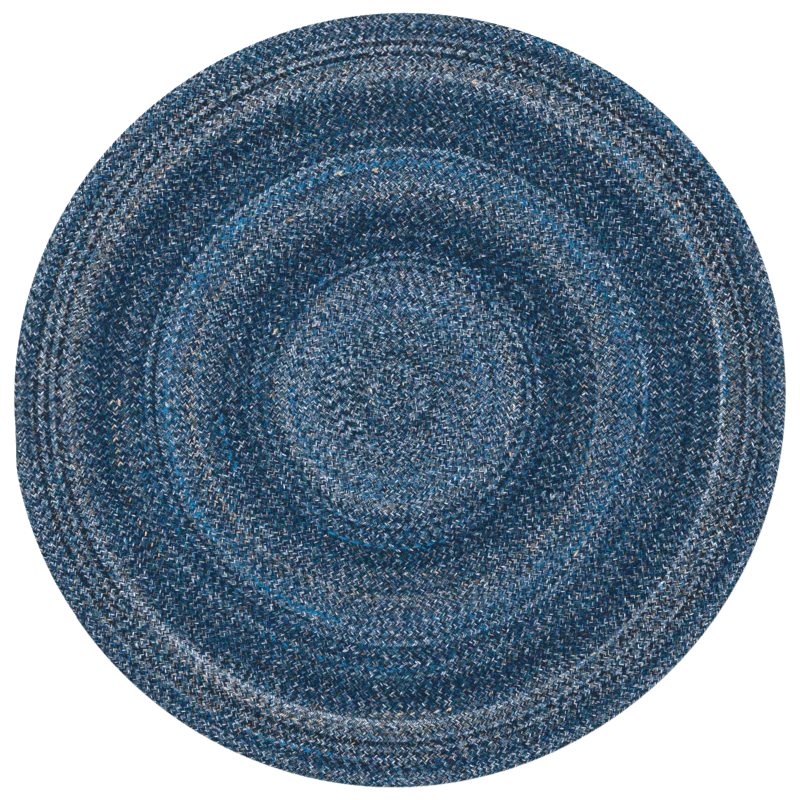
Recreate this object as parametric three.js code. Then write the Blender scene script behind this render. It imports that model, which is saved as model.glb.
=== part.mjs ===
// A round braided rug. Two flat braids are coiled side by side and sewn together
// into one flat disc, so the rug is a single solid: a slightly oval plate with a
// rounded rim, with a small step where the outermost braid ends.
// Millimetres, +Z up. The origin is on the floor, under the middle of the rug's box.
import * as THREE from "three";

// Driving dimensions
const rugDiameter = 1829; // six feet across, the mean of the outline
const rugThickness = 8; // one braid lying flat
const braidWidth = 12.2; // one row of the coil
const rimRound = 3.4; // radius of the outermost braid's side, above and below
const rimSteps = 4; // facets in each rounded edge
const outlineSteps = 240; // straight stretches around the outline

// The coil isn't a true circle: each swell adds its share of the radius,
// "cycles" times around, and is highest at peakDeg
const outlineSwells = [
  { cycles: 2, share: 0.0075, peakDeg: 45.5 },
  { cycles: 3, share: 0.0012, peakDeg: 30 },
  { cycles: 6, share: 0.0009, peakDeg: 30 },
];

// The outermost braid tapers and is sewn under here: the outline dips before
// its end, steps out past it, and both fade into the round
const braidEnd = { atDeg: 188, rampDeg: 3, fadeDeg: 13, halfStep: 0.52 * braidWidth };

const clothMaterial = new THREE.MeshStandardMaterial({
  name: "braided_yarn",
  color: 0x42607a, // denim blue, the mean of navy, azure, silver and charcoal yarns
  roughness: 0.95,
  metalness: 0,
});

// Signed angle from the braid's end, between -180 and 180 degrees
function degreesPastBraidEnd(angleDeg) {
  const turned = angleDeg - braidEnd.atDeg;
  return turned - 360 * Math.round(turned / 360);
}

// Radius of the outline in one direction, with 0 along +X and counter-clockwise
function outlineRadius(angleDeg) {
  let share = 1;
  for (const swell of outlineSwells) {
    const phase = THREE.MathUtils.degToRad(angleDeg - swell.peakDeg);
    share += swell.share * Math.cos(swell.cycles * phase);
  }
  const past = degreesPastBraidEnd(angleDeg);
  const fade = Math.exp(-Math.abs(past) / braidEnd.fadeDeg);
  const step = braidEnd.halfStep * Math.tanh(past / braidEnd.rampDeg) * fade;
  return (rugDiameter / 2) * share + step;
}

function outlineShape() {
  const points = [];
  for (let i = 0; i < outlineSteps; i += 1) {
    const angleDeg = (360 * i) / outlineSteps;
    const angle = THREE.MathUtils.degToRad(angleDeg);
    const radius = outlineRadius(angleDeg);
    points.push(new THREE.Vector2(radius * Math.cos(angle), radius * Math.sin(angle)));
  }
  return new THREE.Shape(points);
}

// The flat plate with its rim rounded over, standing on z = 0
function rugGeometry() {
  const geometry = new THREE.ExtrudeGeometry(outlineShape(), {
    depth: rugThickness - 2 * rimRound,
    steps: 1,
    bevelEnabled: true,
    bevelThickness: rimRound,
    bevelSize: rimRound,
    bevelOffset: -rimRound,
    bevelSegments: rimSteps,
  });
  geometry.computeBoundingBox();
  const box = geometry.boundingBox;
  const middle = box.getCenter(new THREE.Vector3());
  geometry.translate(-middle.x, -middle.y, -box.min.z);
  return geometry;
}

const rug = new THREE.Mesh(rugGeometry(), clothMaterial);
rug.name = "braided_rug";

const roundBraidedRug = new THREE.Group();
roundBraidedRug.add(rug);

export default roundBraidedRug;
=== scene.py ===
import math
import bpy
import numpy as np
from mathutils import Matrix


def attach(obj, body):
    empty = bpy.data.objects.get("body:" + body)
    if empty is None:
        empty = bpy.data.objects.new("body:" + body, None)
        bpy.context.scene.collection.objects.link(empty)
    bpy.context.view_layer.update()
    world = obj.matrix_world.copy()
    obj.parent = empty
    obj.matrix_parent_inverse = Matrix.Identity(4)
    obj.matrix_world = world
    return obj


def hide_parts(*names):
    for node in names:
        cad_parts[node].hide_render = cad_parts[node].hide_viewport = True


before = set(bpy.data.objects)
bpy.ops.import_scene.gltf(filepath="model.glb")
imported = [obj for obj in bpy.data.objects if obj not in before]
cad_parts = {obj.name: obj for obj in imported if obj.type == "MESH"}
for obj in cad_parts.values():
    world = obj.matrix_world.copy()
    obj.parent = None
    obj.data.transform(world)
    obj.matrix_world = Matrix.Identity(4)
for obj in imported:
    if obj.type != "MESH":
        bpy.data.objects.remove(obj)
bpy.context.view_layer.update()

# Looks of a round braided rug. One flat four-strand braid is coiled from the eye, and some
# rows out a second joins it and runs beside it to the rim. Sizes are in millimetres and
# degrees, and become metres where a mesh is written.
rug = {
    "diameter": 1829.0,      # the mean of the outline
    "rows": 75,              # rows of braid from the eye to the rim
    "thickness": 8.0,
    "strandPitch": 14.8,     # from one strand to the next along a column of the plait
    "slantDeg": 39.0,        # of a strand to the braid's own line
    "seed": 20,
}
meanRadius = rug["diameter"] / 2
rowWidth = meanRadius / rug["rows"]
toMetres = 0.001
strandCount = 4              # in each braid, two to a column of the plait
columnOut = 0.25             # of the row's width, from the braid's middle to a column's
dice = np.random.default_rng(rug["seed"])

# The coil isn't a true circle: each swell adds its share of the radius
outlineSwells = [
    {"cycles": 2, "share": 0.0075, "peakDeg": 45.5},
    {"cycles": 3, "share": 0.0012, "peakDeg": 30.0},
    {"cycles": 6, "share": 0.0009, "peakDeg": 30.0},
]
outlineSteps = 240

# Rows are numbered from the eye outwards where the count starts, and are followed
# counter-clockwise from there, which leads inwards along the coil
coil = {
    "countStartDeg": 150.0,
    "eyeShift": (-5.0, 13.5),      # the eye lies off the middle of the rug
    "rowsAlone": 19,               # rows of the first braid before the second joins it
    "joinDeg": 450.0,              # where the second braid begins, counted on from the start
    "joinTaperDeg": 30.0,
    "settleRows": (38.0, 66.0),    # rows over which its joining step moves to the seam zone
    "firstEnd": {"atDeg": 188.0, "rampDeg": 3.0, "fadeDeg": 13.0, "halfStep": 0.52},
    "firstShift": {"fromDeg": 60.0, "overDeg": 180.0},  # gentler inside than at the rim
    "secondEnd": {"fromDeg": 205.0, "toDeg": 245.0},
    # rows lie this many rows further out than evenly spaced ones would
    "bunching": [
        (0, 0.0), (14, 0.15), (34, -0.12), (47, -0.12), (55, 0.2), (63, 0.45), (70, 0.6), (75, 0.0),
    ],
    "wobble": 0.06,                # of a row, how unevenly the rows lie
    "wobbleCycles": (3.0, 8.0, 19.0),   # waves of it in one turn
    # where each braid's outermost turn starts and its innermost one stops
    "firstSpanDeg": (214.0, 330.0),
    "secondSpanDeg": (184.5, 474.0),
    "measureDeg": 0.75,            # from one place where a braid is measured to the next
}


def smoothStep(x):
    x = np.clip(x, 0.0, 1.0)
    return x * x * (3.0 - 2.0 * x)


def swellAt(thetaDeg):
    share = 0.0
    for swell in outlineSwells:
        phase = np.radians(thetaDeg - swell["peakDeg"])
        share = share + swell["share"] * np.cos(swell["cycles"] * phase)
    return share


def firstEndStep(thetaDeg):
    # how many rows the outline stands in or out beside the end of the outermost braid
    end = coil["firstEnd"]
    past = thetaDeg - end["atDeg"]
    past = past - 360.0 * np.round(past / 360.0)
    fade = np.exp(-np.abs(past) / end["fadeDeg"])
    return end["halfStep"] * np.tanh(past / end["rampDeg"]) * fade


def firstEndWidth(thetaDeg):
    end = coil["firstEnd"]
    return 0.5 + 0.5 * np.tanh((thetaDeg - end["atDeg"]) / end["rampDeg"])


def secondEndWidth(thetaDeg):
    end = coil["secondEnd"]
    return smoothStep((thetaDeg - end["fromDeg"]) / (end["toDeg"] - end["fromDeg"]))


def outlineMiddle():
    # middle of the outline's box, which the rug's origin is under
    theta = np.arange(outlineSteps) * 360.0 / outlineSteps
    radius = meanRadius * (1.0 + swellAt(theta)) + firstEndStep(theta) * rowWidth
    x = radius * np.cos(np.radians(theta))
    y = radius * np.sin(np.radians(theta))
    return (x.max() + x.min()) / 2, (y.max() + y.min()) / 2


boxMiddle = outlineMiddle()
wobblePhase = dice.uniform(0.0, 360.0, (rug["rows"] + 3, len(coil["wobbleCycles"])))


def wobbleAt(label, thetaDeg):
    # unevenness of a row's edge, nil where one turn meets the next
    turn = (thetaDeg - coil["countStartDeg"]) / 360.0
    waves = np.zeros_like(thetaDeg)
    for i, cycles in enumerate(coil["wobbleCycles"]):
        waves += np.sin(np.radians(360.0 * cycles * turn + wobblePhase[label, i])) / (1.0 + i)
    return coil["wobble"] * waves * np.sin(np.pi * turn)


def rowEdge(label, thetaDeg):
    # rows from the eye to the inner edge of the row with this number
    near = smoothStep((thetaDeg - coil["joinDeg"]) / coil["joinTaperDeg"])
    far = secondEndWidth(thetaDeg)
    settleFrom, settleTo = coil["settleRows"]
    settled = np.clip((label - settleFrom) / (settleTo - settleFrom), 0.0, 1.0)
    second = np.where(label > coil["rowsAlone"], near + (far - near) * settled, 0.0)
    turned = (thetaDeg - coil["firstShift"]["fromDeg"]) / coil["firstShift"]["overDeg"]
    gentle = smoothStep(turned) + smoothStep(turned - 360.0 / coil["firstShift"]["overDeg"])
    sharp = firstEndWidth(thetaDeg) - firstEndStep(thetaDeg)
    onward = label - 2.0 * (thetaDeg - coil["countStartDeg"]) / 360.0
    sharpness = np.clip((onward - settleTo) / (rug["rows"] - settleTo - 2), 0.0, 1.0)
    first = gentle + (sharp - gentle) * sharpness
    edge = np.minimum(label, rug["rows"]) - first - second
    edge = edge + np.where(label > rug["rows"], firstEndWidth(thetaDeg), 0.0)
    edge = edge + np.where(label > rug["rows"] + 1, far, 0.0)
    inside = (label > 0) & (label < rug["rows"])
    evenRows, furtherOut = np.array(coil["bunching"]).T
    edge = edge + np.interp(edge, evenRows, furtherOut)
    return edge + np.where(inside, wobbleAt(label, thetaDeg), 0.0)


def placeAt(rows, thetaDeg):
    # plan position of a point so many rows from the eye
    out = rows / rug["rows"]
    radius = meanRadius * out * (1.0 + swellAt(thetaDeg) * out * out)
    theta = np.radians(thetaDeg)
    x = radius * np.cos(theta) + coil["eyeShift"][0] * (1.0 - out * out) - boxMiddle[0]
    y = radius * np.sin(theta) + coil["eyeShift"][1] * (1.0 - out * out) - boxMiddle[1]
    return x, y


def planOf(braid, turned, across):
    # across is -0.5 at the row's inner edge and 0.5 at its outer one
    turn = np.floor((turned - coil["countStartDeg"]) / 360.0).astype(int)
    turn = np.clip(turn, 0, len(braid["lines"]) - 1)
    line = braid["lines"][turn]
    theta = turned - 360.0 * turn
    inner = rowEdge(line, theta)
    outer = rowEdge(line + 1, theta)
    rows = np.maximum(inner + (0.5 + across) * (outer - inner), 0.0)
    x, y = placeAt(rows, theta)
    return x, y, rows


def layBraid(name, number, lines, startDeg, stopDeg):
    # a braid is measured along its middle, from its outer end inwards
    braid = {"name": name, "number": number, "lines": np.array(lines)}
    braid["turned"] = np.arange(startDeg, 360.0 * (len(lines) - 1) + stopDeg, coil["measureDeg"])
    x, y, rows = planOf(braid, braid["turned"], np.zeros_like(braid["turned"]))
    braid["along"] = np.concatenate([[0.0], np.cumsum(np.hypot(np.diff(x), np.diff(y)))])
    braid["rowsOut"] = rows
    braid["length"] = braid["along"][-1]
    return braid


def turnedAt(braid, along):
    return np.interp(along, braid["along"], braid["turned"])


outerLine = rug["rows"] + 1
soloLine = coil["rowsAlone"] - 1
firstLines = list(range(outerLine, soloLine - 1, -2)) + list(range(soloLine - 1, -1, -1))
secondLines = list(range(outerLine - 1, soloLine, -2))
braids = [
    layBraid("braid_one", 0, firstLines, *coil["firstSpanDeg"]),
    layBraid("braid_two", 1, secondLines, *coil["secondSpanDeg"]),
]
for braid in braids:
    print("laid", braid["name"], round(braid["length"] * toMetres, 1), "m")


# Yarn colours, roughly from the darkest to the lightest, as they look on the cloth, each
# with the family it belongs to and its parts of that family
yarnDyes = [
    ("charcoal", "#222529", "coal", 1),
    ("bottle", "#062F38", "dark", 28),
    ("plum", "#25233D", "dark", 14),
    ("navy", "#022C52", "dark", 58),
    ("umber", "#453A3A", "middle", 7),
    ("indigo", "#153F6C", "middle", 20),
    ("denim", "#155681", "middle", 37),
    ("petrol", "#0C677B", "middle", 22),
    ("slate", "#5A7080", "middle", 14),
    ("cobalt", "#1463A6", "blue", 40),
    ("azure", "#008BC6", "blue", 25),
    ("sky", "#4A8FC2", "blue", 35),
    ("taupe", "#94897F", "grey", 50),
    ("pewter", "#8D949A", "grey", 50),
    ("steel", "#6397BE", "pale", 44),
    ("lavender", "#9CA2C6", "pale", 20),
    ("mist", "#96BDCF", "pale", 36),
    ("camel", "#EAD0B4", "camel", 1),
    ("silver", "#DAE8F8", "silver", 1),
]
dyeNames = [name for name, shade, family, parts in yarnDyes]

# Each mix is what a bundle of yarn is made up of, in parts of each family of colours
families = ("coal", "dark", "middle", "blue", "grey", "pale", "camel", "silver")
yarnMixes = {
    "midnight":      (8, 50, 35, 1.0, 1.0, 6.5, 0.1, 1.8),
    "deepDenim":     (8, 41, 37, 1.5, 2.0, 10.5, 0.1, 3.2),
    "denim":         (8, 38, 36, 1.5, 2.5, 12, 0.2, 4.6),
    "lightDenim":    (8, 34, 35, 2.0, 3.0, 14.5, 0.2, 5.8),
    "blueHeather":   (9, 29, 34, 2.5, 3.0, 17.5, 0.2, 7.5),
    "heather":       (11, 24, 31, 2.0, 5.0, 20, 0.3, 10.0),
    "paleHeather":   (11, 19, 27, 1.5, 9.0, 20, 0.5, 13.0),
    "silverGrey":    (9, 11, 20, 1.5, 8.0, 29, 0.9, 20.5),
    "greyHeather":   (17, 16, 22, 0.5, 16.0, 14, 1.1, 13.0),
    "graphite":      (34, 26, 22, 0.5, 6.5, 7.5, 0.5, 3.5),
    "azureNight":    (5, 37, 42, 7.0, 1.0, 10, 0.1, 2.8),
    "azureDenim":    (4, 20, 44, 12.0, 1.5, 18, 0.2, 6.5),
    "azureHeather":  (5, 20, 38, 10.0, 3.0, 20, 0.2, 9.0),
    "azurePale":     (5, 19, 36, 12.0, 2.0, 22, 0.2, 10.5),
}
mixNames = list(yarnMixes)

# Rings of the coil from the eye outwards: the last row of each, and each braid's mix there
rings = [
    {"toRow": 15.0, "one": "blueHeather", "two": "blueHeather"},
    {"toRow": 16.3, "one": "azureHeather", "two": "azureHeather"},
    {"toRow": 18.2, "one": "azurePale", "two": "blueHeather"},
    {"toRow": 19.6, "one": "azureHeather", "two": "blueHeather"},
    {"toRow": 21.0, "one": "azureHeather", "two": "azureHeather"},
    {"toRow": 24.0, "one": "heather", "two": "heather"},
    {"toRow": 25.6, "one": "azureHeather", "two": "deepDenim"},
    {"toRow": 28.0, "one": "azureDenim", "two": "deepDenim"},
    {"toRow": 29.8, "one": "azureNight", "two": "deepDenim"},
    {"toRow": 31.8, "one": "deepDenim", "two": "midnight"},
    {"toRow": 33.7, "one": "midnight", "two": "deepDenim"},
    {"toRow": 35.8, "one": "deepDenim", "two": "deepDenim"},
    {"toRow": 38.5, "one": "lightDenim", "two": "denim"},
    {"toRow": 40.3, "one": "greyHeather", "two": "blueHeather"},
    {"toRow": 42.5, "one": "heather", "two": "blueHeather"},
    {"toRow": 46.0, "one": "azureDenim", "two": "azureHeather"},
    {"toRow": 47.5, "one": "denim", "two": "azureHeather"},
    {"toRow": 49.5, "one": "azureNight", "two": "azureHeather"},
    {"toRow": 51.5, "one": "azureNight", "two": "denim"},
    {"toRow": 53.6, "one": "azureNight", "two": "lightDenim"},
    {"toRow": 55.6, "one": "deepDenim", "two": "denim"},
    {"toRow": 58.5, "one": "midnight", "two": "deepDenim"},
    {"toRow": 60.5, "one": "deepDenim", "two": "deepDenim"},
    {"toRow": 61.7, "one": "lightDenim", "two": "denim"},
    {"toRow": 62.7, "one": "heather", "two": "heather"},
    {"toRow": 64.1, "one": "silverGrey", "two": "greyHeather"},
    {"toRow": 65.7, "one": "greyHeather", "two": "paleHeather"},
    {"toRow": 67.4, "one": "graphite", "two": "heather"},
    {"toRow": 71.0, "one": "graphite", "two": "paleHeather"},
    {"toRow": 71.7, "one": "deepDenim", "two": "heather"},
    {"toRow": 72.6, "one": "denim", "two": "azureNight"},
    {"toRow": 80.0, "one": "blueHeather", "two": "heather"},
]
ringRows = np.array([ring["toRow"] for ring in rings], float)
ringMix = np.array([[mixNames.index(ring[key]) for key in ("one", "two")] for ring in rings])


def mixShares():
    # how much of each mix is this colour or one before it
    kind = [families.index(family) for name, shade, family, parts in yarnDyes]
    own = np.array([parts for name, shade, family, parts in yarnDyes], float)
    own = own / np.bincount(kind, own)[kind]
    shares = np.array([np.array(mix)[kind] * own for mix in yarnMixes.values()])
    return np.cumsum(shares / shares.sum(axis=1, keepdims=True), axis=1)


mixLadder = mixShares()


def drift(along, length, reach):
    # slow even noise along a braid, of unit spread, changing over about this reach
    bends = np.arange(0.0, length + 3.0 * reach, reach)
    bendSpread = 1.22        # over one, as the noise evens out from one bend to the next
    return np.interp(along, bends, dice.normal(0.0, bendSpread, len(bends)))


def shadeOrders(length, plies, meanRun):
    # A strand always holds dark, middling and light plies, each keeping its shade for a
    # while: now and then two of them change places. Gives where, and the order from there.
    # A tenth more changes than the length should need, and twenty besides.
    swaps = int(1.1 * plies * length / (2.0 * meanRun)) + 20
    places = np.cumsum(dice.exponential(2.0 * meanRun / plies, swaps))
    orders = np.empty((swaps + 1, plies), int)
    orders[0] = dice.permutation(plies)
    for i in range(swaps):
        one, other = dice.choice(plies, 2, replace=False)
        orders[i + 1] = orders[i]
        orders[i + 1, [one, other]] = orders[i, [other, one]]
    return places, orders


def shareBelow(x):
    # share of an even bell curve that lies below x
    return 0.5 * (1.0 + np.tanh(0.7988 * x * (1.0 + 0.04417 * x * x)))


def bellAt(share):
    # the place on an even bell curve below which this share of it lies
    return np.interp(share, shareBelow(bellSteps), bellSteps)


bellSteps = np.linspace(-4.0, 4.0, 801)


# Yarn ridges: where each strand shows, its yarns lie side by side on the slant
yarn = {
    "perStrand": 3,
    "width": 3.6,            # a yarn's own width, a little over its share of the strand
    "widthSpread": 0.13,
    "ridge": 8.1,            # height of the middle yarn of a strand
    "sideDrop": 0.5,         # how much lower the strand's outer yarns lie
    "edgeDrop": 1.5,         # from a yarn's ridge to its edge
    "tipHeight": 5.0,        # where a yarn dives under the next strand
    "reach": 1.05,           # of a column's width, how far a yarn shows across it
    "heightSpread": 0.3,
    "slantSpreadDeg": 6.0,
    "shadeRun": 130.0,       # how long a ply keeps its shade, on the mean
    # what the change of shade comes from, in shares of it; the rest is chance
    "shares": {"braid": 0.01, "strand": 0.02, "ply": 0.85},
    "braidDrift": 900.0,     # reach of the slow changes of shade along a braid
    "strandDrift": 500.0,
    "twistDrift": 160.0,     # and of how far its plies have turned
    "twistWander": 0.25,     # of a turn, how far that strays along a yarn
    "twistSpread": 0.06,     # and from one ridge to the next
    "ringSpread": 0.06,      # of a row, how ragged the edges of the rings are
    "liftSpread": 0.10,      # of the yarns' lightness
    "pieces": (6, 5),        # lengths that each braid is made up from
}
# Knots of undyed wool spun into the yarn, which fall where they will
slub = {
    "knots": (6, 5),         # on each braid
    "yarns": (1, 4),         # fewest and most yarns that show one knot
    "girth": 1.3,            # times a plain yarn's width
}
knotDice = np.random.default_rng(rug["seed"] + 1)

# Stretches of a row with a brighter yarn spun in: how many of a column's six yarns carry it
accents = [
    {"dye": "azure", "row": 11.25, "fromDeg": 235.0, "toDeg": 315.0, "yarns": 1},
    {"dye": "azure", "row": 20.25, "fromDeg": 170.0, "toDeg": 315.0, "yarns": 1},
    {"dye": "azure", "row": 29.75, "fromDeg": 235.0, "toDeg": 290.0, "yarns": 3},
    {"dye": "azure", "row": 34.5, "fromDeg": 185.0, "toDeg": 205.0, "yarns": 2},
    {"dye": "azure", "row": 39.0, "fromDeg": 150.0, "toDeg": 240.0, "yarns": 1},
    {"dye": "azure", "row": 38.5, "fromDeg": 335.0, "toDeg": 360.0, "yarns": 2},
    {"dye": "azure", "row": 45.0, "fromDeg": 150.0, "toDeg": 255.0, "yarns": 3},
    {"dye": "azure", "row": 45.25, "fromDeg": 315.0, "toDeg": 375.0, "yarns": 2},
    {"dye": "azure", "row": 44.75, "fromDeg": 375.0, "toDeg": 510.0, "yarns": 2},
    {"dye": "azure", "row": 45.5, "fromDeg": 435.0, "toDeg": 500.0, "yarns": 2},
    {"dye": "azure", "row": 48.25, "fromDeg": 350.0, "toDeg": 375.0, "yarns": 2},
    {"dye": "azure", "row": 50.0, "fromDeg": 180.0, "toDeg": 220.0, "yarns": 1},
    {"dye": "azure", "row": 52.75, "fromDeg": 240.0, "toDeg": 280.0, "yarns": 2},
    {"dye": "azure", "row": 63.25, "fromDeg": 300.0, "toDeg": 345.0, "yarns": 1},
    {"dye": "azure", "row": 63.5, "fromDeg": 360.0, "toDeg": 415.0, "yarns": 2},
    {"dye": "azure", "row": 68.5, "fromDeg": 190.0, "toDeg": 205.0, "yarns": 2},
    {"dye": "azure", "row": 70.25, "fromDeg": 245.0, "toDeg": 265.0, "yarns": 2},
    {"dye": "azure", "row": 74.25, "fromDeg": 385.0, "toDeg": 430.0, "yarns": 2},
    {"dye": "camel", "row": 5.25, "fromDeg": 170.0, "toDeg": 225.0, "yarns": 1},
    {"dye": "camel", "row": 22.75, "fromDeg": 335.0, "toDeg": 385.0, "yarns": 1},
    {"dye": "camel", "row": 35.0, "fromDeg": 260.0, "toDeg": 285.0, "yarns": 1},
    {"dye": "camel", "row": 40.5, "fromDeg": 155.0, "toDeg": 235.0, "yarns": 1},
    {"dye": "camel", "row": 42.0, "fromDeg": 365.0, "toDeg": 390.0, "yarns": 1},
    {"dye": "camel", "row": 46.25, "fromDeg": 315.0, "toDeg": 330.0, "yarns": 2},
    {"dye": "camel", "row": 55.5, "fromDeg": 180.0, "toDeg": 215.0, "yarns": 1},
    {"dye": "camel", "row": 61.25, "fromDeg": 265.0, "toDeg": 280.0, "yarns": 2},
    {"dye": "camel", "row": 60.75, "fromDeg": 400.0, "toDeg": 420.0, "yarns": 2},
    {"dye": "camel", "row": 63.25, "fromDeg": 490.0, "toDeg": 510.0, "yarns": 1},
    {"dye": "camel", "row": 65.5, "fromDeg": 230.0, "toDeg": 255.0, "yarns": 1},
]
accentChance = 0.8           # that each ply of such a yarn takes the accent's colour
accentNear = 0.4             # of a row, how far from the accent's row its yarns may lie

# One yarn ridge: share of its length, of its half width, and 0 end, 1 edge, 2 ridge
ridgePoints = np.array([
    (-0.03, -0.5, 0), (-0.03, 0.5, 0),
    (0.27, -1.0, 1), (0.25, 0.0, 2), (0.27, 1.0, 1),
    (0.73, -1.0, 1), (0.75, 0.0, 2), (0.73, 1.0, 1),
    (1.03, -0.5, 0), (1.03, 0.5, 0),
])
# crown sets the painted shade of the yarns' colour: ends and edges are darkened as if down in the grooves,
# ridges stay bright
crownOfKind = np.array([0.25, 0.05, 1.0])     # how far out of the grooves each kind of point is
ridgeFaces = np.array([
    (0, 3, 1), (0, 2, 3), (1, 3, 4),
    (2, 5, 6), (2, 6, 3), (3, 6, 7), (3, 7, 4),
    (5, 8, 6), (7, 6, 9), (8, 9, 6),
])
flattestFace = 4          # the one that tells which way a ridge faces


def slubbedYarns(braid, along, side):
    # which yarns carry the knots that fall on this braid
    x, y, rows = planOf(braid, turnedAt(braid, along), columnOut * side)
    slubbed = np.zeros(len(along), bool)
    for _ in range(slub["knots"][braid["number"]]):
        knot = knotDice.integers(len(along))
        shown = knotDice.integers(*slub["yarns"], endpoint=True)
        away = np.hypot(x - x[knot], y - y[knot])
        slubbed[np.argsort(away)[:shown]] = True
    return slubbed


def spinAccents(braid, dyes, along, side, inColumn):
    # gives the accents' dyes to the yarns that carry them, numbered 0 to 5 in their column
    turned = turnedAt(braid, along)
    x, y, rows = planOf(braid, turned, columnOut * side)
    theta = coil["countStartDeg"] + np.mod(turned - coil["countStartDeg"], 360.0)
    for accent in accents:
        carriers = dice.permutation(2 * yarn["perStrand"])[:accent["yarns"]]
        near = (theta > accent["fromDeg"]) & (theta < accent["toDeg"]) & np.isin(inColumn, carriers)
        near = near & (np.abs(rows - accent["row"]) < accentNear)
        shown = dice.uniform(0.0, 1.0, dyes.shape) < accentChance
        dyes[near[:, None] & shown] = dyeNames.index(accent["dye"])


def ridgesOf(braid):
    # one row of values for each yarn ridge that shows on top of this braid
    pitch = rug["strandPitch"]
    perStrand = yarn["perStrand"]
    count = int(braid["length"] / pitch) - 1
    j, side, m = np.meshgrid(np.arange(count), [-1, 1], np.arange(perStrand), indexing="ij")
    j, side, m = j.ravel(), side.ravel(), m.ravel()
    stagger = 0.5 * (side > 0)      # of a pitch, as one column of the plait lies further on
    along = (j + stagger) * pitch + (m + 0.5) * pitch / perStrand
    strand = np.where(side < 0, 2 * (j % 2), 2 * (j % 2) + 1)
    rows = np.interp(along, braid["along"], braid["rowsOut"])

    # how light the yarn is here: slow drifts of braid and strand, runs of each ply, and chance
    total = len(j)
    length = braid["length"]
    shares = yarn["shares"]
    level = shares["braid"] ** 0.5 * drift(along, length, yarn["braidDrift"])
    strandDrift = [drift(along, length, yarn["strandDrift"]) for _ in range(strandCount)]
    level = level + shares["strand"] ** 0.5 * np.choose(strand, strandDrift)
    chance = 1.0 - sum(shares.values())
    ring = np.searchsorted(ringRows, rows + dice.normal(0.0, yarn["ringSpread"], total))
    ladder = mixLadder[ringMix[np.clip(ring, 0, len(rings) - 1), braid["number"]]]
    rank = np.empty((total, 2))
    seed = np.empty(total)
    for k in range(strandCount):
        mine = np.flatnonzero(strand == k)
        for i in range(perStrand):
            same = mine[m[mine] == i]
            wander = dice.uniform() + yarn["twistWander"] * drift(along[same], length, yarn["twistDrift"])
            seed[same] = wander
        swapPlaces, orders = shadeOrders(length, 2 * perStrand, yarn["shadeRun"])
        now = np.searchsorted(swapPlaces, along[mine])
        for ply in range(2):
            rank[mine, ply] = orders[now, 2 * m[mine] + ply]
    own = bellAt((rank + dice.uniform(0.0, 1.0, (total, 2))) / (2 * perStrand))
    plyLevel = level[:, None] + shares["ply"] ** 0.5 * own
    plyLevel = plyLevel + chance ** 0.5 * dice.normal(0.0, 1.0, (total, 2))
    dyes = (shareBelow(plyLevel)[:, :, None] > ladder[:, None, :]).sum(axis=2)
    spinAccents(braid, dyes, along, side, perStrand * (strand // 2) + m)
    slubbed = slubbedYarns(braid, along, side)
    dyes[slubbed] = dyeNames.index("camel")
    return {
        "along": along, "side": side, "dyes": dyes,
        "top": yarn["ridge"] - yarn["sideDrop"] * np.abs(m - (perStrand - 1) / 2),
        "seed": np.mod(seed + dice.normal(0.0, yarn["twistSpread"], total), 1.0),
        "lift": np.exp(dice.normal(0.0, yarn["liftSpread"], total)),
        "girth": np.where(slubbed, slub["girth"], np.exp(dice.normal(0.0, yarn["widthSpread"], total))),
    }


def ridgePlaces(braid, ridges):
    # plan position and height of every point of these ridges
    total = len(ridges["along"])
    slant = np.radians(rug["slantDeg"] + dice.normal(0.0, yarn["slantSpreadDeg"], total))[:, None]
    length = 0.5 * rowWidth * yarn["reach"] / np.sin(slant)
    half = 0.5 * yarn["width"] * ridges["girth"][:, None]
    side = ridges["side"][:, None]
    share, aside, kind = ridgePoints.T
    runAlong = length * (share - 0.5) * np.cos(slant) + half * aside * np.sin(slant)
    runAcross = length * (share - 0.5) * np.sin(slant) - half * aside * np.cos(slant)
    along = ridges["along"][:, None] + runAlong
    across = side * columnOut - side * runAcross / rowWidth
    top = (ridges["top"] + dice.normal(0.0, yarn["heightSpread"], total))[:, None]
    height = np.where(kind == 2, top, np.where(kind == 1, top - yarn["edgeDrop"], yarn["tipHeight"]))
    x, y, rows = planOf(braid, turnedAt(braid, along), across)
    crown = crownOfKind[kind.astype(int)] + np.zeros_like(x)
    own = np.stack([length * share, half * aside + np.zeros_like(x), crown], axis=-1)
    return np.stack([x, y, height + np.zeros_like(x)], axis=-1), own


def facesOf(places, pattern, outward):
    # joined faces of many copies of one pattern, each turned to look outwards
    copies, points = places.shape[:2]
    a, b, c = (places[:, pattern[flattestFace][k]] for k in range(3))
    flip = (np.cross(b - a, c - a) * outward).sum(axis=1) < 0
    faces = np.where(flip[:, None, None], pattern[None, :, ::-1], pattern[None])
    return (faces + (np.arange(copies) * points)[:, None, None]).reshape(-1, 3)


def writeMesh(name, places, faces):
    mesh = bpy.data.meshes.new(name)
    mesh.vertices.add(len(places))
    mesh.vertices.foreach_set("co", (places * toMetres).astype(np.float32).ravel())
    mesh.loops.add(faces.size)
    mesh.loops.foreach_set("vertex_index", faces.astype(np.int32).ravel())
    mesh.polygons.add(len(faces))
    mesh.polygons.foreach_set("loop_start", np.arange(0, faces.size, faces.shape[1], dtype=np.int32))
    mesh.update(calc_edges=True)
    mesh.shade_smooth()
    piece = bpy.data.objects.new(name, mesh)
    bpy.context.scene.collection.objects.link(piece)
    return piece


def writeValues(piece, name, kind, values):
    field = {"FLOAT_COLOR": "color", "FLOAT_VECTOR": "vector"}[kind]
    store = piece.data.attributes.new(name, kind, "POINT")
    store.data.foreach_set(field, np.ascontiguousarray(values, dtype=np.float32).ravel())


bakeCell = {
    "rowsToColumns": 1.6,
    "along": 0.76,           # of its cell's length, for a ridge's own, so that a margin is left
    "across": 0.36,          # of its cell's width, for half a ridge's
}


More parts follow.
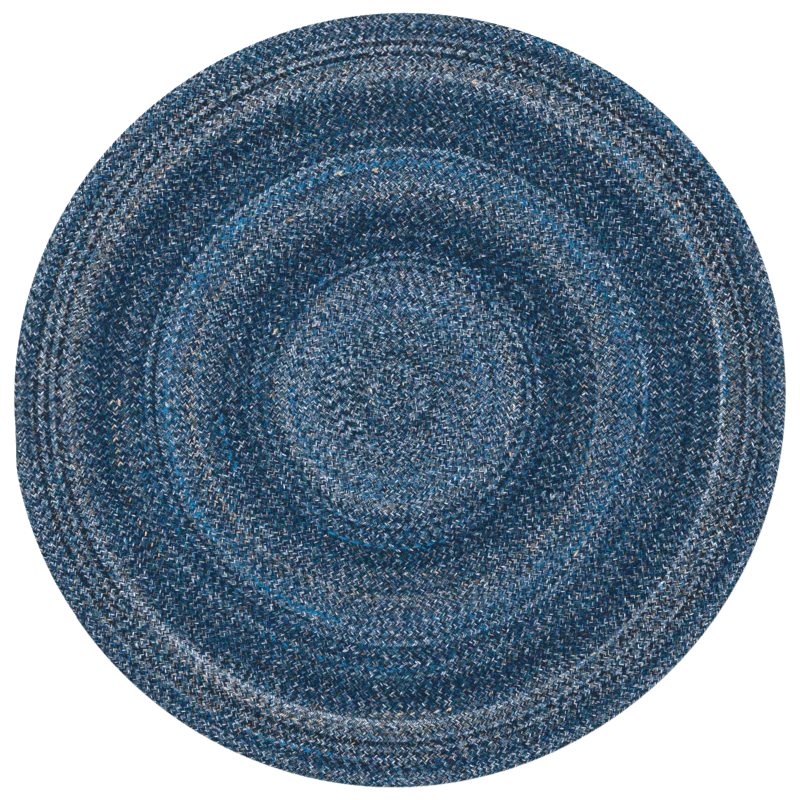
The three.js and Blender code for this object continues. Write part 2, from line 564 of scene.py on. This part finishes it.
def writeBakeMap(piece, copies, share, aside):
    # every ridge gets a cell of its own, so that its colours stay sharp when baked
    wide = math.ceil(math.sqrt(copies / bakeCell["rowsToColumns"]))
    high = math.ceil(copies / wide)
    cell = np.arange(copies)
    u = ((cell % wide)[:, None] + 0.5 + bakeCell["along"] * (share - 0.5)[None, :]) / wide
    v = ((cell // wide)[:, None] + 0.5 + bakeCell["across"] * aside[None, :]) / high
    spots = np.stack([u, v], axis=-1).reshape(-1, 2)
    corner = np.empty(len(piece.data.loops), np.int32)
    piece.data.loops.foreach_get("vertex_index", corner)
    layer = piece.data.uv_layers.new(name="OFBake", do_init=False)
    layer.uv.foreach_set("vector", spots[corner].astype(np.float32).ravel())


def linearOf(hexShade):
    # sRGB hex to a linear colour with full alpha
    channels = [int(hexShade[i:i + 2], 16) / 255 for i in (1, 3, 5)]
    linear = [c / 12.92 if c <= 0.04045 else ((c + 0.055) / 1.055) ** 2.4 for c in channels]
    return (*linear, 1.0)


def addNode(tree, kind, settings=None, links=None):
    # settings are the node's own or, where the key is a socket, that socket's value
    node = tree.nodes.new(kind)
    for key, value in (settings or {}).items():
        if isinstance(key, int) or key in node.inputs:
            node.inputs[key].default_value = value
        else:
            setattr(node, key, value)
    for key, source in (links or {}).items():
        tree.links.new(source, node.inputs[key])
    return node


def fillDyes(ramp, starts):
    # one flat step for each yarn colour
    stops = ramp.color_ramp.elements
    ramp.color_ramp.interpolation = "CONSTANT"
    while len(stops) < len(yarnDyes):
        stops.new(1.0)
    for i, (name, shade, family, parts) in enumerate(yarnDyes):
        stops[i].position = starts[i]
        stops[i].color = linearOf(shade)


# Heathered wool and acrylic yarn, spun from two plies and plaited: matt, soft and hairy,
# with one ply winding round another that is often of another shade
yarnFinish = {
    "roughness": 0.92,
    "sheen": 0.13,
    "sheenTint": "#A8C0DC",
    "plyTwistMm": 18.0,      # along the yarn for one turn of its plies
    "plyEdge": (0.1, 0.7),   # of the twist's wave, where one ply gives way to the other
    "plyCover": 0.85,        # how fully the second ply hides the first where it lies on top
    "fibreMm": 0.28,         # coarser than a real fibre, which is 0.03 mm
    "fibreShade": (0.5, 1.53),
    "fibreStretch": (0.09, 1.0, 0.02),   # less is longer: along the yarn, across it, and up
    "fleckMm": 1.1,          # width of a fleck, where fibres of other colours are carded in
    "fleckTint": 0.8,
    "fleckShade": (0.54, 1.45),
    "fleckStretch": (0.28, 1.0, 0.02),
    "apart": 900.0,          # how far apart two yarns' patterns can lie in the noise
    "bumpMm": 0.35,
    "fibreRelief": 1.2,      # times the plies' own
    # painted shade: the yarns' colour is darkened towards their ends and edges, down in the grooves
    "grooveShade": 0.1,
    "grooveTop": 0.85,       # how far up a yarn the groove's shade reaches
}
yarnSurface = {
    "Sheen Weight": yarnFinish["sheen"],
    "Sheen Roughness": 0.5,
    "Sheen Tint": linearOf(yarnFinish["sheenTint"]),
    "IOR": 1.5,
    "Specular IOR Level": 0.12,
}
noiseSpan = {"From Min": 0.3, "From Max": 0.7}    # what a noise texture mostly gives


def heatheredYarn():
    material = bpy.data.materials.new("heathered_yarn_two_ply_plaited")
    material.use_nodes = True
    tree = material.node_tree
    tree.nodes.clear()
    dye = addNode(tree, "ShaderNodeAttribute", {"attribute_name": "dye"})
    dyes = addNode(tree, "ShaderNodeSeparateXYZ", None, {0: dye.outputs["Vector"]})
    own = addNode(tree, "ShaderNodeAttribute", {"attribute_name": "yarnPlace"})
    place = addNode(tree, "ShaderNodeSeparateXYZ", None, {0: own.outputs["Vector"]})
    rampOne = addNode(tree, "ShaderNodeValToRGB", None, {"Fac": dyes.outputs["X"]})
    rampTwo = addNode(tree, "ShaderNodeValToRGB", None, {"Fac": dyes.outputs["Y"]})
    evenStarts = [i / len(yarnDyes) for i in range(len(yarnDyes))]
    fillDyes(rampOne, evenStarts)
    fillDyes(rampTwo, evenStarts)

    # plies wind round each other: a slanting wave along the yarn
    turns = 2 * math.pi / yarnFinish["plyTwistMm"]
    lengthWave = addNode(tree, "ShaderNodeMath", {"operation": "MULTIPLY", 1: turns},
                         {0: place.outputs["X"]})
    slant = 2 * math.pi / yarn["width"]
    slantWave = addNode(tree, "ShaderNodeMath", {"operation": "MULTIPLY_ADD", 1: slant},
                        {0: place.outputs["Y"], 2: lengthWave.outputs[0]})
    seedWave = addNode(tree, "ShaderNodeMath", {"operation": "MULTIPLY_ADD", 1: 2 * math.pi},
                       {0: dyes.outputs["Z"], 2: slantWave.outputs[0]})
    wave = addNode(tree, "ShaderNodeMath", {"operation": "SINE"}, {0: seedWave.outputs[0]})
    edgeFrom, edgeTo = yarnFinish["plyEdge"]
    plyMask = addNode(tree, "ShaderNodeMapRange",
                      {"interpolation_type": "SMOOTHSTEP", "From Min": edgeFrom, "From Max": edgeTo,
                       "To Max": yarnFinish["plyCover"]},
                      {"Value": wave.outputs[0]})
    plies = addNode(tree, "ShaderNodeMix", {"data_type": "RGBA"},
                    {"Factor": plyMask.outputs["Result"],
                     "A": rampOne.outputs["Color"], "B": rampTwo.outputs["Color"]})

    # fibres run along the yarn as fine light and dark streaks
    seedShift = addNode(tree, "ShaderNodeCombineXYZ", None, {"Z": dyes.outputs["Z"]})
    shifted = addNode(tree, "ShaderNodeVectorMath",
                      {"operation": "MULTIPLY_ADD", 1: (0.0, 0.0, yarnFinish["apart"])},
                      {0: seedShift.outputs[0], 2: own.outputs["Vector"]})
    stretched = addNode(tree, "ShaderNodeVectorMath",
                        {"operation": "MULTIPLY", 1: yarnFinish["fibreStretch"]},
                        {0: shifted.outputs[0]})
    fibres = addNode(tree, "ShaderNodeTexNoise",
                     {"Scale": 1 / yarnFinish["fibreMm"], "Detail": 3.0, "Roughness": 0.65},
                     {"Vector": stretched.outputs[0]})
    dull, bright = yarnFinish["fibreShade"]
    fibreShade = addNode(tree, "ShaderNodeMapRange",
                         {**noiseSpan, "To Min": dull, "To Max": bright},
                         {"Value": fibres.outputs["Fac"]})
    # flecks, longer than wide, where the carded fibres are lighter, darker or off in hue
    fleckPlace = addNode(tree, "ShaderNodeVectorMath",
                         {"operation": "MULTIPLY", 1: yarnFinish["fleckStretch"]},
                         {0: shifted.outputs[0]})
    flecks = addNode(tree, "ShaderNodeTexNoise", {"Scale": 1 / yarnFinish["fleckMm"], "Detail": 1.0},
                     {"Vector": fleckPlace.outputs[0]})
    low, high = yarnFinish["fleckShade"]
    fleckShade = addNode(tree, "ShaderNodeMapRange",
                         {**noiseSpan, "To Min": low, "To Max": high},
                         {"Value": flecks.outputs["Fac"]})
    tint = yarnFinish["fleckTint"]
    fleckTint = addNode(tree, "ShaderNodeVectorMath",
                        {"operation": "MULTIPLY_ADD", 1: [tint] * 3, 2: [1 - tint / 2] * 3},
                        {0: flecks.outputs["Color"]})
    tinted = addNode(tree, "ShaderNodeVectorMath", {"operation": "MULTIPLY"},
                     {0: plies.outputs["Result"], 1: fleckTint.outputs[0]})
    carded = addNode(tree, "ShaderNodeMath", {"operation": "MULTIPLY"},
                     {0: fibreShade.outputs["Result"], 1: fleckShade.outputs["Result"]})
    # painted shade: the colour is darkened towards each yarn's ends and edges, where little light gets down
    # between the yarns
    crowned = addNode(tree, "ShaderNodeMapRange",
                      {"interpolation_type": "SMOOTHSTEP", "From Max": yarnFinish["grooveTop"],
                       "To Min": yarnFinish["grooveShade"]},
                      {"Value": place.outputs["Z"]})
    # painted groove shade times each yarn's own lightness, which differs at random
    grooveShadeAndLift = addNode(tree, "ShaderNodeMath", {"operation": "MULTIPLY"},
                   {0: crowned.outputs["Result"], 1: dye.outputs["Alpha"]})
    lifted = addNode(tree, "ShaderNodeMath", {"operation": "MULTIPLY"},
                     {0: carded.outputs[0], 1: grooveShadeAndLift.outputs[0]})
    shaded = addNode(tree, "ShaderNodeVectorMath", {"operation": "SCALE"},
                     {0: tinted.outputs[0], "Scale": lifted.outputs[0]})

    plyRound = addNode(tree, "ShaderNodeMath", {"operation": "ABSOLUTE"}, {0: wave.outputs[0]})
    relief = addNode(tree, "ShaderNodeMath", {"operation": "MULTIPLY_ADD", 1: yarnFinish["fibreRelief"]},
                     {0: fibres.outputs["Fac"], 2: plyRound.outputs[0]})
    bump = addNode(tree, "ShaderNodeBump",
                   {"Strength": 0.7, "Distance": yarnFinish["bumpMm"] * toMetres},
                   {"Height": relief.outputs[0]})
    shader = addNode(tree, "ShaderNodeBsdfPrincipled",
                     {"Roughness": yarnFinish["roughness"], **yarnSurface},
                     {"Base Color": shaded.outputs[0], "Normal": bump.outputs[0]})
    addNode(tree, "ShaderNodeOutputMaterial", None, {"Surface": shader.outputs[0]})
    return material


yarnMaterial = heatheredYarn()


def makeYarnPiece(name, spots, own, dyes, seed, lift, outward):
    # one joined mesh of yarn ridges, with what their material needs to know of each
    copies, points = spots.shape[:2]
    piece = writeMesh(name, spots.reshape(-1, 3), facesOf(spots, ridgeFaces, outward))
    perRidge = np.column_stack([(dyes + 0.5) / len(yarnDyes), seed, lift])
    writeValues(piece, "dye", "FLOAT_COLOR", np.repeat(perRidge, points, axis=0))
    writeValues(piece, "yarnPlace", "FLOAT_VECTOR", own.reshape(-1, 3))
    writeBakeMap(piece, copies, ridgePoints[:, 0], ridgePoints[:, 1])
    piece.data.materials.append(yarnMaterial)
    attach(piece, "root")
    return piece


upward = np.array([0.0, 0.0, 1.0])


def makeLengths(braid, pieceCount):
    # the yarn ridges of one braid, in as many pieces as the braid has lengths
    ridges = ridgesOf(braid)
    places, own = ridgePlaces(braid, ridges)
    cuts = np.linspace(0, len(places), pieceCount + 1).astype(int)
    made = []
    for i in range(pieceCount):
        part = slice(cuts[i], cuts[i + 1])
        name = f"{braid['name']}_length_{i + 1}"
        made.append(makeYarnPiece(name, places[part], own[part], ridges["dyes"][part],
                                  ridges["seed"][part], ridges["lift"][part], upward))
    print(braid["name"], "yarn ridges", len(places))
    return made


lengths = makeLengths(braids[0], yarn["pieces"][0]) + makeLengths(braids[1], yarn["pieces"][1])

# Round the rim the outermost row's yarns show again, where they turn down over its edge
rim = {
    "within": 0.35,          # rows from the outline in which a row counts as outermost
    "from": 0.2,             # across the row, what the yarns turn about
    "halfHeight": 3.5,
    "middle": 4.1,
    "fromDeg": 62.0,
    "toDeg": -58.0,
    "run": 4.5,              # how far along the rim a yarn goes on the way down
    "mix": "blueHeather",
}
proudOfKind = np.array([-1.2, -0.7, 0.5])     # mm out from the turn, for each kind of point


def dyesOfMix(name, total):
    level = dice.uniform(0.0, 1.0, (total, 2))
    return (level[:, :, None] > mixLadder[mixNames.index(name)]).sum(axis=2)


def rimPlaces(braid):
    pitch = rug["strandPitch"] / yarn["perStrand"]
    along = np.arange(0.5 * pitch, braid["length"], pitch)
    turned = turnedAt(braid, along)
    x, y, rows = planOf(braid, turned, np.full_like(turned, 0.5))
    along = along[rows > rug["rows"] + firstEndStep(turned) - rim["within"]]
    share, aside, kind = ridgePoints.T
    half = 0.5 * yarn["width"] * np.exp(dice.normal(0.0, yarn["widthSpread"], len(along)))[:, None]
    proud = proudOfKind[kind.astype(int)] + dice.normal(0.0, yarn["heightSpread"], len(along))[:, None]
    turn = np.radians(rim["fromDeg"] + (rim["toDeg"] - rim["fromDeg"]) * share)
    reach = rim["halfHeight"] + proud
    spots = along[:, None] + rim["run"] * (share - 0.5) + half * aside
    x, y, rows = planOf(braid, turnedAt(braid, spots), rim["from"] + reach * np.cos(turn) / rowWidth)
    crown = crownOfKind[kind.astype(int)] + np.zeros_like(x)
    own = np.stack([2.0 * rim["halfHeight"] * share + np.zeros_like(x), half * aside, crown], axis=-1)
    return np.stack([x, y, rim["middle"] + reach * np.sin(turn)], axis=-1), own


def makeRim():
    made = [rimPlaces(braid) for braid in braids]
    places = np.concatenate([places for places, own in made])
    own = np.concatenate([own for places, own in made])
    total = len(places)
    outward = places.mean(axis=1) * np.array([1.0, 1.0, 0.0])
    print("yarns round the rim", total)
    return makeYarnPiece("rim_yarns", places, own, dyesOfMix(rim["mix"], total),
                         dice.uniform(0.0, 1.0, total),
                         np.exp(dice.normal(0.0, yarn["liftSpread"], total)), outward)


# The first braid starts at the eye, where its end is tucked in
eye = {
    "yarns": 7,
    "out": 2.6,
    "length": 7.0,
    "leanDeg": 62.0,
    "top": 7.4,
    "mix": "heather",
}


def makeEye():
    middleX, middleY = placeAt(0.0, 0.0)
    share, aside, kind = ridgePoints.T
    at = (np.arange(eye["yarns"]) * 360.0 / eye["yarns"])[:, None]
    heading = np.radians(at + eye["leanDeg"])
    run = eye["length"] * (share - 0.5)
    wide = 0.5 * yarn["width"] * aside
    x = middleX + eye["out"] * np.cos(np.radians(at)) + run * np.cos(heading) - wide * np.sin(heading)
    y = middleY + eye["out"] * np.sin(np.radians(at)) + run * np.sin(heading) + wide * np.cos(heading)
    belowTop = np.where(kind == 1, eye["top"] - yarn["edgeDrop"], yarn["tipHeight"])
    height = np.where(kind == 2, eye["top"], belowTop)
    places = np.stack([x, y, height + np.zeros_like(x)], axis=-1)
    own = np.stack([eye["length"] * share, wide, crownOfKind[kind.astype(int)]], axis=-1)
    own = own + np.zeros((eye["yarns"], 1, 1))
    total = eye["yarns"]
    return makeYarnPiece("start_tucked_in_at_the_eye", places, own, dyesOfMix(eye["mix"], total),
                         dice.uniform(0.0, 1.0, total), np.ones(total), upward)


lengths = lengths + [makeRim(), makeEye()]

# The braids' bodies, side by side: they close the grooves under the yarns and show beneath
body = {
    # share of the row's width, and height, round the section from below
    "section": [
        (-0.40, 0.25), (-0.22, 0.0), (0.0, 0.45), (0.22, 0.0), (0.40, 0.25),
        (0.54, 3.0), (0.40, 5.0), (0.22, 5.6), (0.0, 4.6), (-0.22, 5.6), (-0.40, 5.0), (-0.54, 3.0),
    ],
    "stepMm": 76.0,
    "stepDeg": 9.0,
    "eyeRadius": 60.0,       # within which a wider angle still makes a short step
    "eyeStepDeg": 27.0,
    "mix": "denim",          # what the others are lighter or darker than
    # painted shade: the body's upper part, seen only down in the grooves, is darkened in its colour
    "shadedAbove": 2.0,      # mm; from there up it is down in the grooves
    "topShade": 0.4,
    # painted shade: the body's colour darkens in the lines between its yarns
    "lineShade": 0.25,       # between one yarn and the next
    "lineReach": 0.34,       # of a yarn's width, how far that shade goes
    "reliefMm": 0.9,
    "fibreRelief": 0.3,      # times the yarns' own
    "fibreShade": (0.65, 1.4),
    "roughness": 0.95,
}


def bodyStops(braid):
    # places along the braid where its section is set out
    stops = [braid["turned"][0]]
    while stops[-1] < braid["turned"][-1]:
        here = max(np.interp(stops[-1], braid["turned"], braid["rowsOut"]), 1.0) * rowWidth
        largest = body["eyeStepDeg"] if here < body["eyeRadius"] else body["stepDeg"]
        step = min(math.degrees(body["stepMm"] / here), largest)
        stops.append(min(stops[-1] + step, braid["turned"][-1]))
    return np.array(stops)


def braidBody(braid):
    # a tube of the braid's section: points, faces and two values for its material
    stops = bodyStops(braid)
    across, height = np.array(body["section"]).T
    turned = stops[:, None] + np.zeros_like(across)
    x, y, rows = planOf(braid, turned, across + np.zeros_like(turned))
    places = np.stack([x, y, height + np.zeros_like(x)], axis=-1)
    count, points = len(stops), len(across)
    k, i = np.meshgrid(np.arange(count - 1), np.arange(points), indexing="ij")
    after = (i + 1) % points
    near, far = k * points, (k + 1) * points
    quads = np.stack([near + i, near + after, far + after, far + i], axis=-1).reshape(-1, 4)
    fan = np.stack([np.zeros(points - 2, int), np.arange(1, points - 1), np.arange(2, points)], axis=1)
    last = (count - 1) * points
    faces = np.concatenate([quads[:, [0, 1, 2]], quads[:, [0, 2, 3]], fan[:, ::-1], fan + last])

    along = np.interp(stops, braid["turned"], braid["along"])[:, None] + np.zeros_like(x)
    plait = np.stack([along, across * rowWidth + np.zeros_like(x), np.full_like(x, braid["number"])], axis=-1)
    ring = np.clip(np.searchsorted(ringRows, rows), 0, len(rings) - 1)
    darkest = sum(family in ("coal", "dark") for name, shade, family, parts in yarnDyes) - 1
    darkShare = mixLadder[ringMix[ring, braid["number"]], darkest]
    lighter = mixLadder[mixNames.index(body["mix"]), darkest] - darkShare
    # painted shade: the upper part, down in the grooves, is darkened in its colour and the underside is not;
    # stored beside the rings' real tone
    light = np.where(height > body["shadedAbove"], body["topShade"], 1.0) + np.zeros_like(x)
    toneAndShade = np.stack([lighter, light, np.zeros_like(x)], axis=-1)
    return places.reshape(-1, 3), faces, plait.reshape(-1, 3), toneAndShade.reshape(-1, 3)


def makeBody():
    parts = [braidBody(braid) for braid in braids]
    starts = np.cumsum([0] + [len(part[0]) for part in parts])
    places = np.concatenate([part[0] for part in parts])
    faces = np.concatenate([part[1] + start for part, start in zip(parts, starts)])
    piece = writeMesh("coiled_braids", places, faces)
    writeValues(piece, "plaitPlace", "FLOAT_VECTOR", np.concatenate([part[2] for part in parts]))
    writeValues(piece, "plaitToneAndShade", "FLOAT_VECTOR", np.concatenate([part[3] for part in parts]))
    print("coil body faces", len(faces))
    return piece


def plaitUnderneath():
    # The plait as the grooves and the underside show it: flattened yarns on the slant, dull
    # and hairy, each of one colour, with painted shade in the lines between them
    material = bpy.data.materials.new("heathered_yarn_plait_pressed_flat")
    material.use_nodes = True
    tree = material.node_tree
    tree.nodes.clear()
    plait = addNode(tree, "ShaderNodeAttribute", {"attribute_name": "plaitPlace"})
    place = addNode(tree, "ShaderNodeSeparateXYZ", None, {0: plait.outputs["Vector"]})
    toneAndShadeValues = addNode(tree, "ShaderNodeAttribute", {"attribute_name": "plaitToneAndShade"})
    toneAndShade = addNode(tree, "ShaderNodeSeparateXYZ", None, {0: toneAndShadeValues.outputs["Vector"]})

    # number of the yarn along its column of the plait, and how far across that yarn
    out = addNode(tree, "ShaderNodeMath", {"operation": "ABSOLUTE"}, {0: place.outputs["Y"]})
    column = addNode(tree, "ShaderNodeMath", {"operation": "GREATER_THAN", 1: 0.0}, {0: place.outputs["Y"]})
    perYarn = yarn["perStrand"] / rug["strandPitch"]
    lean = perYarn / math.tan(math.radians(rug["slantDeg"]))
    level = addNode(tree, "ShaderNodeMath", {"operation": "MULTIPLY", 1: perYarn}, {0: place.outputs["X"]})
    leaning = addNode(tree, "ShaderNodeMath", {"operation": "MULTIPLY_ADD", 1: lean},
                      {0: out.outputs[0], 2: level.outputs[0]})
    number = addNode(tree, "ShaderNodeMath", {"operation": "FLOOR"}, {0: leaning.outputs[0]})
    part = addNode(tree, "ShaderNodeMath", {"operation": "FRACT"}, {0: leaning.outputs[0]})
    cell = addNode(tree, "ShaderNodeCombineXYZ", None,
                   {"X": number.outputs[0], "Y": column.outputs[0], "Z": place.outputs["Z"]})
    chance = addNode(tree, "ShaderNodeTexWhiteNoise", {"noise_dimensions": "3D"}, {"Vector": cell.outputs[0]})

    # the same rings of lighter and darker mixes as on top
    room = addNode(tree, "ShaderNodeMath", {"operation": "ABSOLUTE"}, {0: toneAndShade.outputs["X"]})
    kept = addNode(tree, "ShaderNodeMath", {"operation": "SUBTRACT", 0: 1.0}, {1: room.outputs[0]})
    ranked = addNode(tree, "ShaderNodeMath", {"operation": "MULTIPLY_ADD", "use_clamp": True},
                     {0: chance.outputs["Value"], 1: kept.outputs[0], 2: toneAndShade.outputs["X"]})
    ramp = addNode(tree, "ShaderNodeValToRGB", None, {"Fac": ranked.outputs[0]})
    ladder = mixLadder[mixNames.index(body["mix"])]
    fillDyes(ramp, [0.0] + [float(share) for share in ladder[:-1]])

    # a painted shade round each yarn, darker towards the lines between yarns, and the light and dark of its
    # fibres
    aside = addNode(tree, "ShaderNodeMath", {"operation": "PINGPONG", 1: 0.5}, {0: part.outputs[0]})
    rounded = addNode(tree, "ShaderNodeMapRange",
                      {"interpolation_type": "SMOOTHSTEP", "From Max": body["lineReach"],
                       "To Min": body["lineShade"]},
                      {"Value": aside.outputs[0]})
    fibres = addNode(tree, "ShaderNodeTexNoise",
                     {"Scale": 1 / yarnFinish["fleckMm"], "Detail": 4.0, "Roughness": 0.7},
                     {"Vector": plait.outputs["Vector"]})
    dull, bright = body["fibreShade"]
    fibreShade = addNode(tree, "ShaderNodeMapRange", {**noiseSpan, "To Min": dull, "To Max": bright},
                         {"Value": fibres.outputs["Fac"]})
    # painted shade: the line shade times the darkening of the body's top, down in the grooves
    lit = addNode(tree, "ShaderNodeMath", {"operation": "MULTIPLY"},
                  {0: rounded.outputs["Result"], 1: toneAndShade.outputs["Y"]})
    lifted = addNode(tree, "ShaderNodeMath", {"operation": "MULTIPLY"},
                     {0: fibreShade.outputs["Result"], 1: lit.outputs[0]})
    shaded = addNode(tree, "ShaderNodeVectorMath", {"operation": "SCALE"},
                     {0: ramp.outputs["Color"], "Scale": lifted.outputs[0]})
    relief = addNode(tree, "ShaderNodeMath", {"operation": "MULTIPLY_ADD", 1: body["fibreRelief"]},
                     {0: fibres.outputs["Fac"], 2: rounded.outputs["Result"]})
    bump = addNode(tree, "ShaderNodeBump",
                   {"Strength": 0.8, "Distance": body["reliefMm"] * toMetres},
                   {"Height": relief.outputs[0]})
    shader = addNode(tree, "ShaderNodeBsdfPrincipled", {"Roughness": body["roughness"], **yarnSurface},
                     {"Base Color": shaded.outputs[0], "Normal": bump.outputs[0]})
    addNode(tree, "ShaderNodeOutputMaterial", None, {"Surface": shader.outputs[0]})
    return material


coilBody = makeBody()
coilBody.data.materials.append(plaitUnderneath())
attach(coilBody, "root")
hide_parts("braided_rug")

# Studio: pale floor, soft light from all round, camera straight above. Sizes are in metres.
studio = {
    "floorSize": 14.0,
    "floorDrop": 0.0004,     # a hair under the rug
    "floorShade": "#FAFAF9",
    "floorRoughness": 0.9,
    "lampSize": 7.0,
    "lampPower": 880.0,
    "lampPlace": (-1.0, 1.5, 9.0),
    "lampTurnDeg": (-9.5, -6.3, 0.0),
    "roomLight": 0.36,
    "cameraHeight": 4.2,
    "frameWidth": 1.891,     # what the camera sees across, at the height of the rug's top
    "sensor": 36.0,
    "farthestSeen": 50.0,
}


def layFloor():
    half = studio["floorSize"] / 2
    plan = [(-half, -half), (half, -half), (half, half), (-half, half)]
    corners = [(x, y, -studio["floorDrop"]) for x, y in plan]
    mesh = bpy.data.meshes.new("floor")
    mesh.from_pydata(corners, [], [(0, 1, 2, 3)])
    floor = bpy.data.objects.new("floor", mesh)
    bpy.context.scene.collection.objects.link(floor)
    paint = bpy.data.materials.new("matt_white_studio_floor")
    paint.use_nodes = True
    shader = paint.node_tree.nodes["Principled BSDF"]
    shader.inputs["Base Color"].default_value = linearOf(studio["floorShade"])
    shader.inputs["Roughness"].default_value = studio["floorRoughness"]
    mesh.materials.append(paint)


def lightStudio():
    lamp = bpy.data.lights.new("overhead_softbox", "AREA")
    lamp.shape = "DISK"
    lamp.size = studio["lampSize"]
    lamp.energy = studio["lampPower"]
    softbox = bpy.data.objects.new("overhead_softbox", lamp)
    softbox.location = studio["lampPlace"]
    softbox.rotation_euler = [math.radians(turn) for turn in studio["lampTurnDeg"]]
    bpy.context.scene.collection.objects.link(softbox)

    world = bpy.data.worlds.new("soft_white_room")
    world.use_nodes = True
    world.node_tree.nodes["Background"].inputs["Color"].default_value = (1.0, 1.0, 1.0, 1.0)
    world.node_tree.nodes["Background"].inputs["Strength"].default_value = studio["roomLight"]
    bpy.context.scene.world = world


def setCamera():
    lens = bpy.data.cameras.new("straight_above")
    lens.sensor_width = studio["sensor"]
    lens.lens = studio["sensor"] * studio["cameraHeight"] / studio["frameWidth"]
    lens.clip_end = studio["farthestSeen"]
    camera = bpy.data.objects.new("straight_above", lens)
    camera.location = (0.0, 0.0, studio["cameraHeight"] + rug["thickness"] * toMetres)
    bpy.context.scene.collection.objects.link(camera)
    bpy.context.scene.camera = camera
    bpy.context.scene.view_settings.view_transform = "Standard"


layFloor()
lightStudio()
setCamera()
print("studio set")
